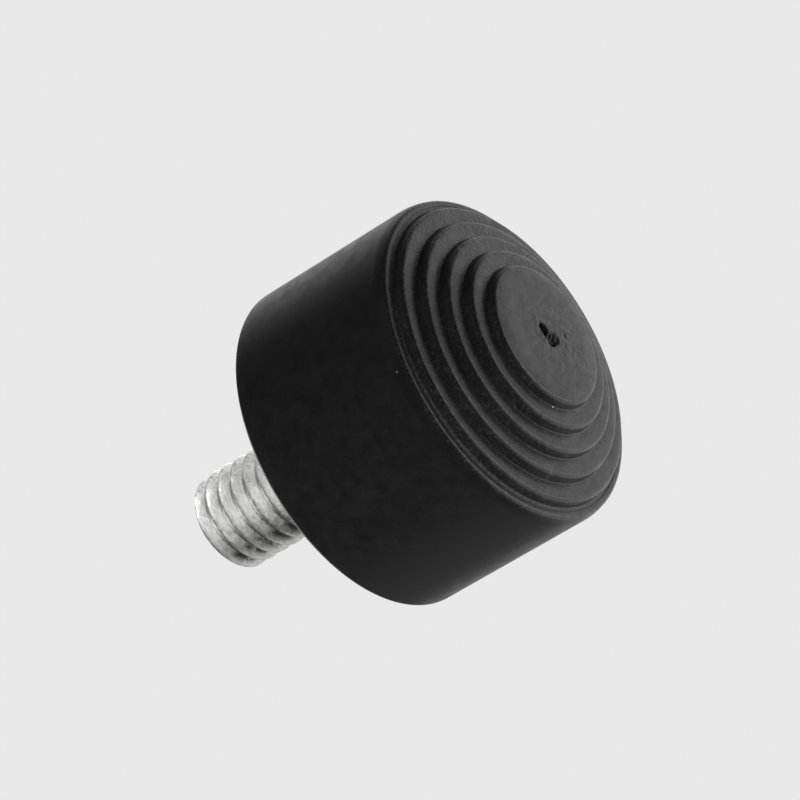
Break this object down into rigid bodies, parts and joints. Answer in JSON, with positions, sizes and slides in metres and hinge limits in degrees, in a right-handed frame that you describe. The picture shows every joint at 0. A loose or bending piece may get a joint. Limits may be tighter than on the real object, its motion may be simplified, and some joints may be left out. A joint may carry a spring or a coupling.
{
  "type": "rubber foot",
  "caption": "Round rubber foot with a stepped, domed tread and a threaded steel stud moulded into its back.",
  "frame": {"origin": "centre of the tread's middle disc, in the plane of the floor that the foot stands on", "axes": "+Z along the stud, up from the tread; the part is round about Z, so X and Y are free"},
  "size_m": [0.0318, 0.0318, 0.0396],
  "materials": {
    "rubber": "matte, as moulded",
    "plated_steel": "bright zinc plate on a rolled thread"
  },
  "bodies": {
    "root": {"rubber_body": "rubber", "threaded_stud": "plated_steel"}
  },
  "joints": []
}
